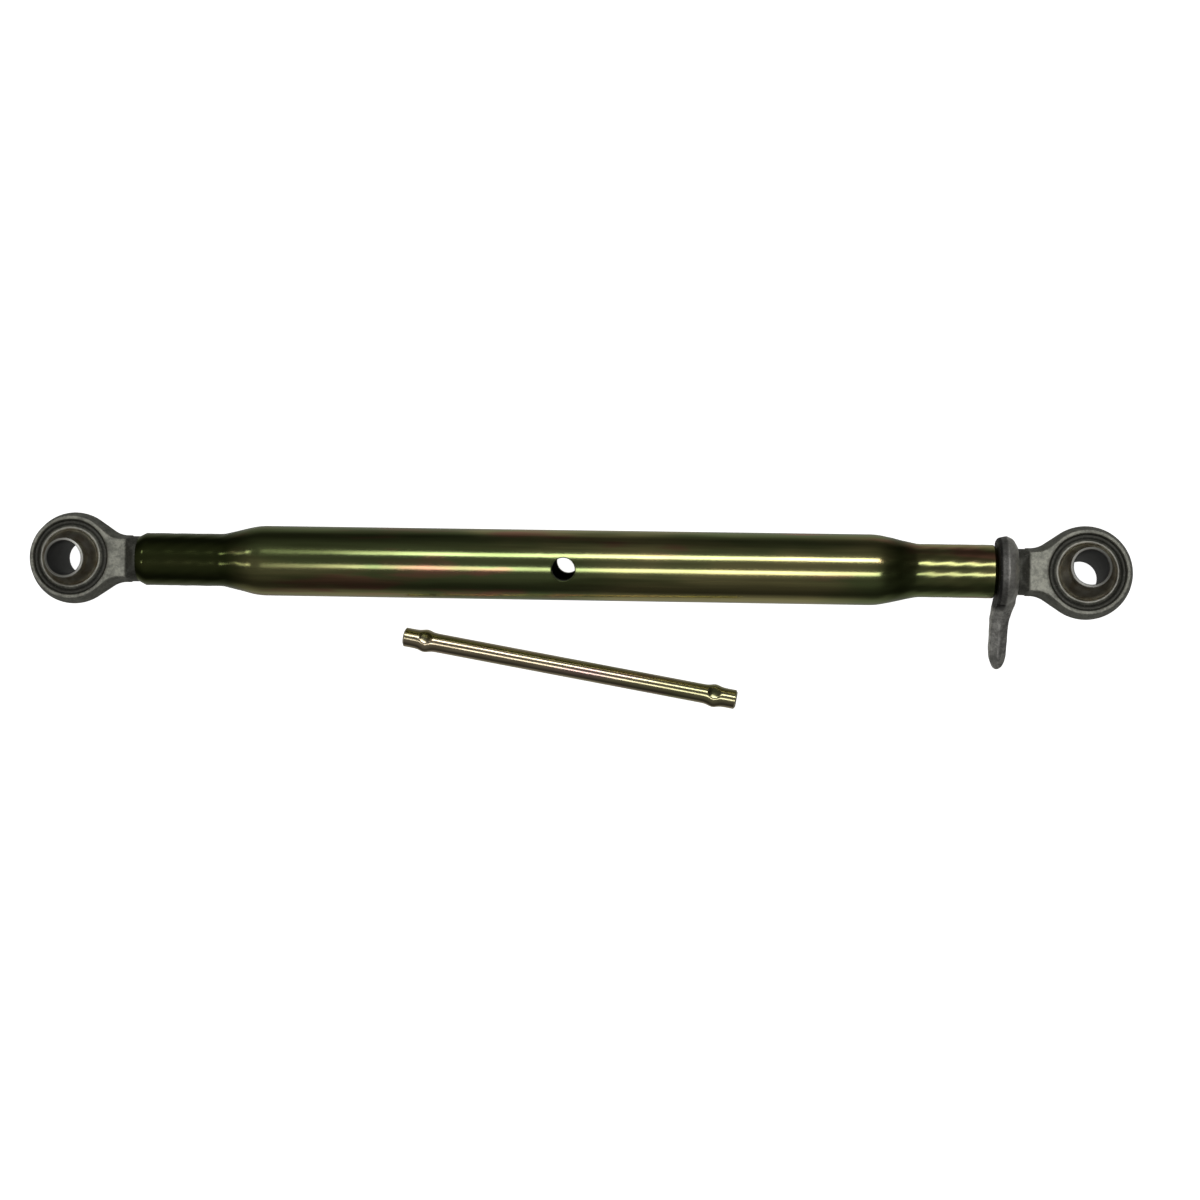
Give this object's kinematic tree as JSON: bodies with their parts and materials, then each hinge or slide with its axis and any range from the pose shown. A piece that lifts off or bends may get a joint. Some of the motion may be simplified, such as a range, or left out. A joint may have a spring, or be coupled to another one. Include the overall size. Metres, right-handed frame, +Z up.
{
  "type": "tractor top link",
  "caption": "Adjustable tractor top link: swaged turnbuckle barrel, two threaded eye rods with ball joints, lever lock nut and loose tommy bar.",
  "frame": {"origin": "centre of the left ball, which is the middle of its pin bore, with the link screwed fully in", "axes": "+X along the link's axis to the right ball, +Z up from the surface that the link lies on, +Y to the far side of the link from its lever"},
  "size_m": [0.6274, 0.106, 0.0458],
  "materials": {
    "forged_rod_steel": "dull phosphated forging, slightly greenish grey",
    "ball_steel": "turned steel, bright rim, dark bore",
    "yellow_zinc_barrel": "glossy yellow chromated zinc plate, iridescent olive, gold and brown",
    "forged_nut_steel": "rough grey forging with a parting ridge",
    "yellow_zinc_bar": "yellow chromated zinc plate, pinkish gold"
  },
  "bodies": {
    "left_rod": {"left_hand_end_rod": "forged_rod_steel"},
    "lock_nut": {"lever_lock_nut": "forged_nut_steel"},
    "barrel": {"turnbuckle_barrel": "yellow_zinc_barrel"},
    "right_rod": {"right_hand_end_rod": "forged_rod_steel"},
    "left_ball": {"left_end_ball": "ball_steel"},
    "right_ball": {"right_end_ball": "ball_steel"},
    "loose_tommy_bar": {"tommy_bar": "yellow_zinc_bar"}
  },
  "joints": [
    {"name": "nut_travel", "type": "slide", "parent": "left_rod", "child": "lock_nut", "axis": [1, 0, 0], "range_m": [0, 0.1341]},
    {"name": "barrel_turn", "type": "hinge", "parent": "lock_nut", "child": "barrel", "pos_m": [0.2835, 0, 0], "axis": [-1, 0, 0], "range_deg": [0, 16080]},
    {"name": "right_rod_travel", "type": "slide", "parent": "lock_nut", "child": "right_rod", "axis": [1, 0, 0], "range_m": [0, 0.1341]},
    {"name": "left_ball_swivel", "type": "hinge", "parent": "left_rod", "child": "left_ball", "pos_m": [0, 0, 0], "axis": [1, 0, 0], "range_deg": [-21.5, 14.5]},
    {"name": "right_ball_swivel", "type": "hinge", "parent": "right_rod", "child": "right_ball", "pos_m": [0.575, 0, 0], "axis": [1, 0, 0], "range_deg": [-12.7, 23.3]},
    {"name": "bar_lift", "type": "slide", "parent": "left_rod", "child": "loose_tommy_bar", "axis": [0, 0, 1], "range_m": [0, 0.1]}
  ],
  "couplings": [
    {"joint": "nut_travel", "follows": "barrel_turn", "m_per_rad": 0.00047746},
    {"joint": "right_rod_travel", "follows": "barrel_turn", "m_per_rad": 0.00047746}
  ]
}
